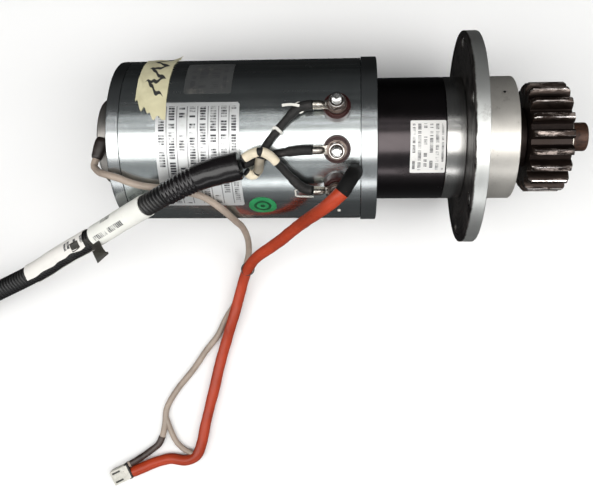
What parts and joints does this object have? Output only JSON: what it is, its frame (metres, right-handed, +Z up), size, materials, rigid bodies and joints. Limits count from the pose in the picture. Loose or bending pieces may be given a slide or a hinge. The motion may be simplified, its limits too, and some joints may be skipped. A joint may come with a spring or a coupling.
{
  "type": "electric motor",
  "caption": "Round electric motor with a planetary gearbox, a drilled mounting flange and a keyed pinion, with screw terminals, black power leads in a conduit, and a sensor cable with a plug.",
  "frame": {"origin": "centre of the bottom of the motor and gearbox as they lie, on the floor", "axes": "+X from the rear cover towards the pinion, +Z up; the shaft rises by 4.1 degrees towards the pinion"},
  "size_m": [0.6364, 0.3242, 0.1402],
  "materials": {
    "zinc_steel": "satin",
    "turned_aluminium": "satin",
    "bright_steel": "satin",
    "black_steel": "satin",
    "brown_gear_steel": "worn",
    "laminations": "matte",
    "copper_winding": "satin",
    "insulator": "satin",
    "black_rubber": "matte",
    "black_plastic": "matte",
    "taupe_cable": "matte",
    "red_sleeve": "matte",
    "white_plastic": "satin",
    "green_board": "satin"
  },
  "bodies": {
    "housing": {"motor_tube": "zinc_steel", "rear_end_cap": "zinc_steel", "front_end_cap": "zinc_steel", "encoder_cover": "zinc_steel", "terminal_lug_u": "zinc_steel", "terminal_lug_v": "zinc_steel", "terminal_lug_w": "zinc_steel", "terminal_nut_u": "zinc_steel", "terminal_nut_v": "zinc_steel", "terminal_nut_w": "zinc_steel", "mounting_flange": "turned_aluminium", "bearing_hub": "turned_aluminium", "adapter_ring": "bright_steel", "rear_rotor_bearing": "bright_steel", "front_rotor_bearing": "bright_steel", "rear_output_bearing": "bright_steel", "front_output_bearing": "bright_steel", "terminal_stud_u": "bright_steel", "terminal_stud_v": "bright_steel", "terminal_stud_w": "bright_steel", "ring_gear_housing": "black_steel", "stator_core": "laminations", "rear_winding": "copper_winding", "front_winding": "copper_winding", "terminal_insulator_u": "insulator", "terminal_insulator_v": "insulator", "terminal_insulator_w": "insulator", "cable_grommet": "black_rubber", "output_seal": "black_rubber", "power_lead_u": "black_rubber", "power_lead_v": "black_rubber", "power_lead_w": "black_rubber", "conduit_boot": "black_rubber", "sleeve_boot": "black_rubber", "power_conduit": "black_plastic", "conduit_coil": "black_plastic", "power_connector": "black_plastic", "sensor_cable": "taupe_cable", "sensor_branch": "taupe_cable", "sensor_sleeve": "red_sleeve", "sensor_plug": "white_plastic", "encoder_board": "green_board"},
    "rotor": {"rotor_shaft": "bright_steel", "rotor_core": "laminations", "encoder_disc": "bright_steel", "sun_gear": "bright_steel"},
    "output": {"output_shaft": "brown_gear_steel", "planet_pin_1": "bright_steel", "planet_pin_2": "bright_steel", "planet_pin_3": "bright_steel", "pinion_key": "bright_steel", "pinion": "brown_gear_steel", "pinion_spacer": "brown_gear_steel", "retaining_washer": "zinc_steel"},
    "planet_1": {"planet_gear_1": "bright_steel"},
    "planet_2": {"planet_gear_2": "bright_steel"},
    "planet_3": {"planet_gear_3": "bright_steel"}
  },
  "joints": [
    {"name": "output_spin", "type": "hinge", "parent": "housing", "child": "output", "pos_m": [0.09403, 0, 0.07082], "axis": [0.9974, 0, 0.0719], "continuous": true},
    {"name": "rotor_spin", "type": "hinge", "parent": "housing", "child": "rotor", "pos_m": [-0.06556, 0, 0.05931], "axis": [0.9974, 0, 0.0719], "continuous": true},
    {"name": "planet_1_spin", "type": "hinge", "parent": "output", "child": "planet_1", "pos_m": [0.03955, 0, 0.08945], "axis": [0.9974, 0, 0.0719], "continuous": true},
    {"name": "planet_2_spin", "type": "hinge", "parent": "output", "child": "planet_2", "pos_m": [0.04197, -0.01949, 0.05579], "axis": [0.9974, 0, 0.0719], "continuous": true},
    {"name": "planet_3_spin", "type": "hinge", "parent": "output", "child": "planet_3", "pos_m": [0.04197, 0.01949, 0.05579], "axis": [0.9974, 0, 0.0719], "continuous": true}
  ],
  "couplings": [
    {"joint": "rotor_spin", "follows": "output_spin", "ratio": 4},
    {"joint": "planet_1_spin", "follows": "output_spin", "ratio": -3},
    {"joint": "planet_2_spin", "follows": "output_spin", "ratio": -3},
    {"joint": "planet_3_spin", "follows": "output_spin", "ratio": -3}
  ]
}
